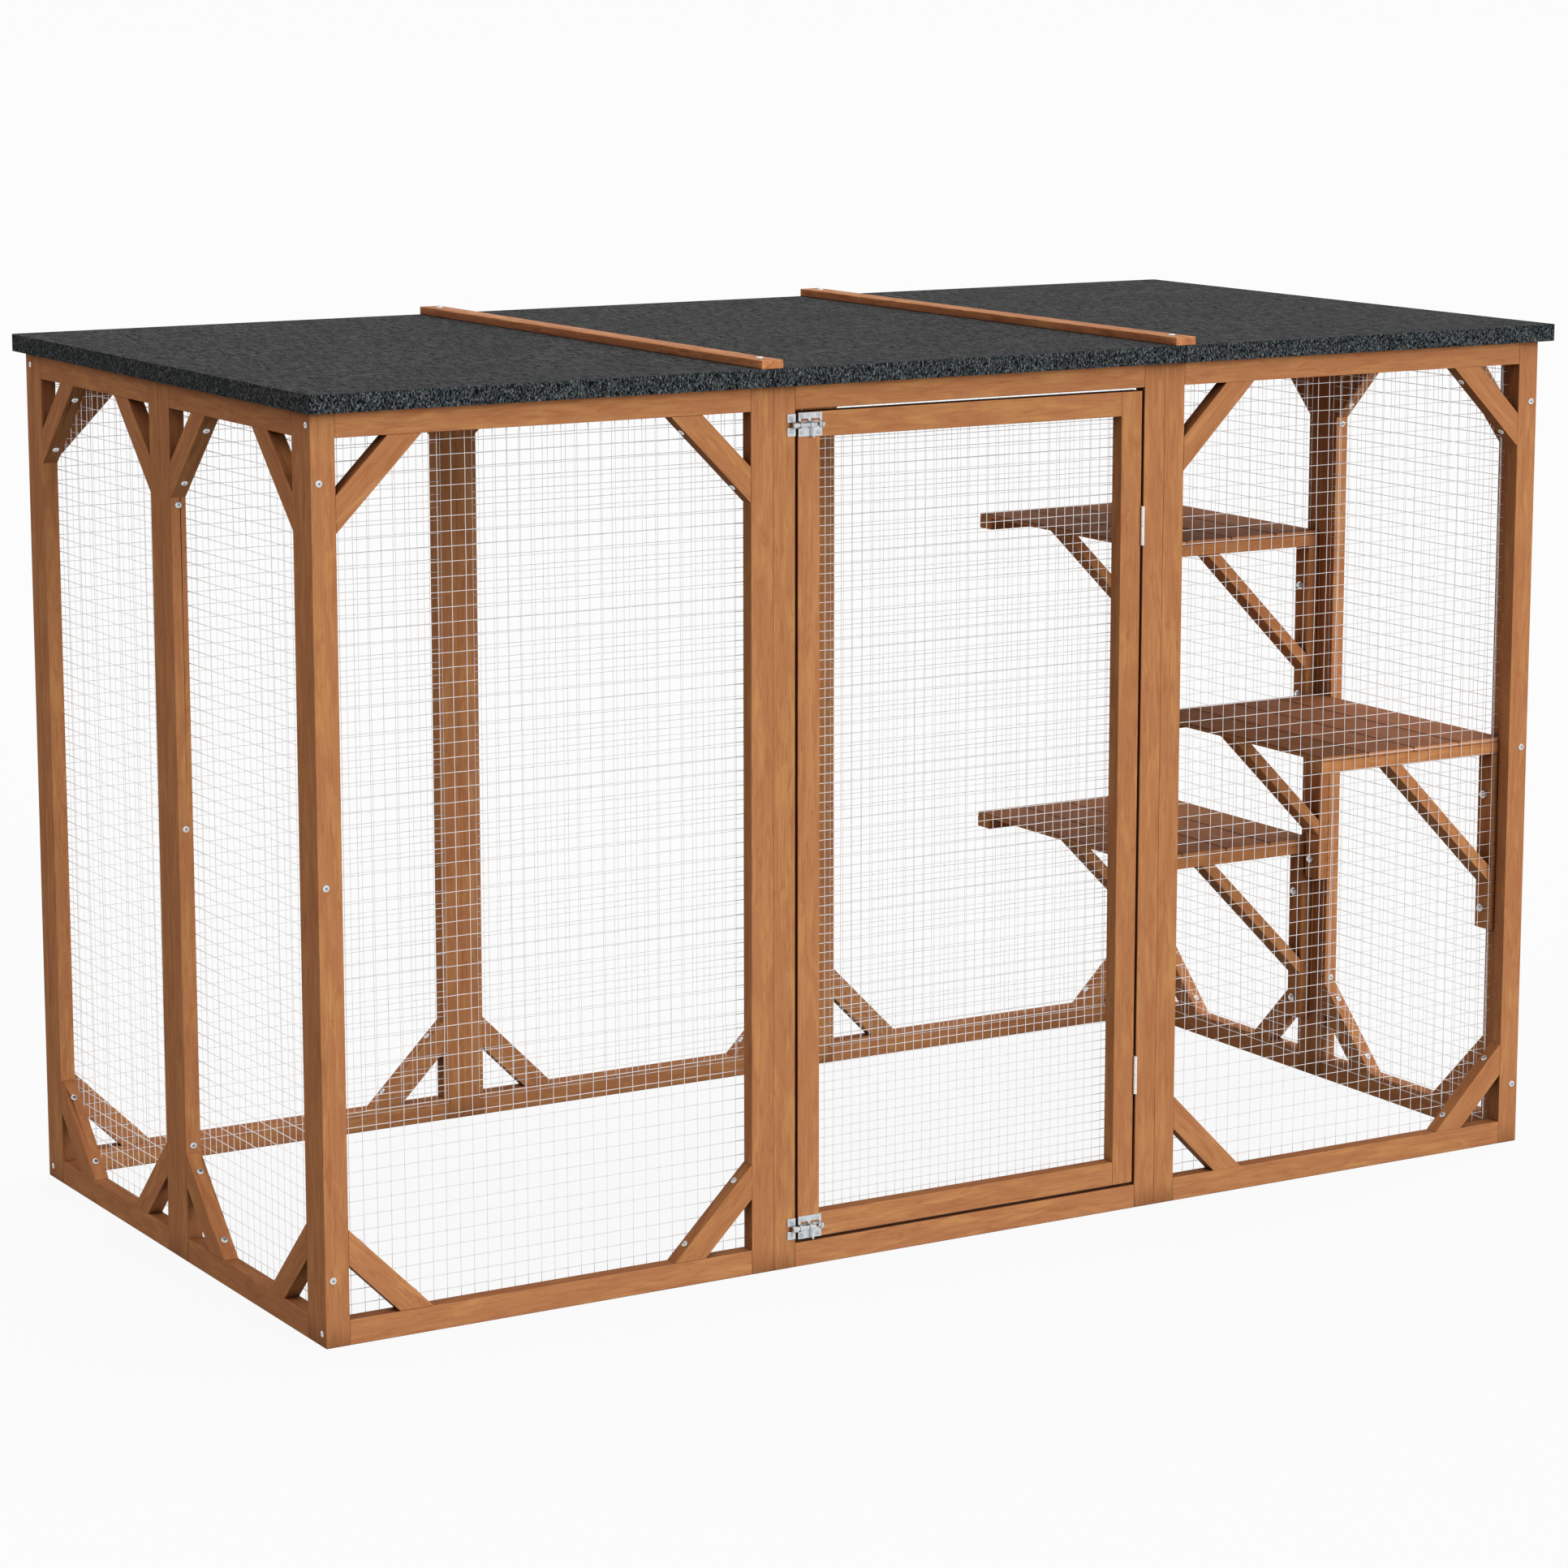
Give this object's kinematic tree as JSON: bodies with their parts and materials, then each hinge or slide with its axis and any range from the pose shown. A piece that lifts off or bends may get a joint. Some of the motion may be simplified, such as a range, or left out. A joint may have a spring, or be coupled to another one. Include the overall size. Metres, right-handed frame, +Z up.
{
  "type": "outdoor cat enclosure",
  "caption": "Outdoor cat enclosure of screwed timber panels with wire mesh, a felt covered roof, a hinged door closed by barrel bolts, and climbing platforms on brackets inside.",
  "frame": {"origin": "on the ground, at the middle of the footprint", "axes": "+X to the right along the front, +Y from the door side to the back, +Z up"},
  "size_m": [1.821, 0.922, 1.1393],
  "materials": {
    "stained_timber": "orange-brown stain, satin",
    "deck_timber": "red-brown stain, satin",
    "roof_board": "plain board under the felt",
    "roof_felt": "charcoal mineral granules, rough",
    "mesh_wire": "galvanised",
    "bright_zinc": "bright zinc plate",
    "fastener_steel": "zinc plate"
  },
  "bodies": {
    "frame": {"front_left_stiles": "stained_timber", "front_left_rails": "stained_timber", "front_left_mesh": "mesh_wire", "doorway_stiles": "stained_timber", "doorway_rails": "stained_timber", "front_right_stiles": "stained_timber", "front_right_rails": "stained_timber", "front_right_mesh": "mesh_wire", "back_left_stiles": "stained_timber", "back_left_rails": "stained_timber", "back_left_mesh": "mesh_wire", "back_middle_stiles": "stained_timber", "back_middle_rails": "stained_timber", "back_middle_mesh": "mesh_wire", "back_right_stiles": "stained_timber", "back_right_rails": "stained_timber", "back_right_mesh": "mesh_wire", "left_wall_front_stiles": "stained_timber", "left_wall_front_rails": "stained_timber", "left_wall_front_mesh": "mesh_wire", "left_wall_back_stiles": "stained_timber", "left_wall_back_rails": "stained_timber", "left_wall_back_mesh": "mesh_wire", "right_wall_front_stiles": "stained_timber", "right_wall_front_rails": "stained_timber", "right_wall_front_mesh": "mesh_wire", "right_wall_back_stiles": "stained_timber", "right_wall_back_rails": "stained_timber", "right_wall_back_mesh": "mesh_wire", "front_braces": "stained_timber", "back_braces": "stained_timber", "left_wall_braces": "stained_timber", "right_wall_braces": "stained_timber", "roof_boards": "roof_board", "roof_felt": "roof_felt", "roof_battens": "stained_timber", "lower_platform_slats": "deck_timber", "middle_platform_slats": "deck_timber", "top_platform_slats": "deck_timber", "platform_arms": "stained_timber", "platform_struts": "stained_timber", "platform_uprights": "stained_timber", "hinge_frame_leaves": "bright_zinc", "hinge_pins": "bright_zinc", "bolt_keepers": "bright_zinc", "brace_screws": "fastener_steel", "rail_screws": "fastener_steel", "assembly_screws": "fastener_steel", "batten_screws": "fastener_steel", "platform_bolts": "fastener_steel", "platform_nuts": "fastener_steel"},
    "door": {"door_stiles": "stained_timber", "door_rails": "stained_timber", "door_mesh": "mesh_wire", "hinge_door_leaves": "bright_zinc", "bolt_plates": "bright_zinc", "door_rail_screws": "fastener_steel"},
    "upper_bolt": {"upper_bolt_rod": "bright_zinc"},
    "lower_bolt": {"lower_bolt_rod": "bright_zinc"}
  },
  "joints": [
    {"name": "door_hinge", "type": "hinge", "parent": "frame", "child": "door", "pos_m": [0.256, -0.43868, 0.5385], "axis": [0, 0, 1], "range_deg": [0, 170]},
    {"name": "upper_bolt_slide", "type": "slide", "parent": "door", "child": "upper_bolt", "axis": [1, 0, 0], "range_m": [0, 0.01]},
    {"name": "lower_bolt_slide", "type": "slide", "parent": "door", "child": "lower_bolt", "axis": [1, 0, 0], "range_m": [0, 0.01]}
  ]
}
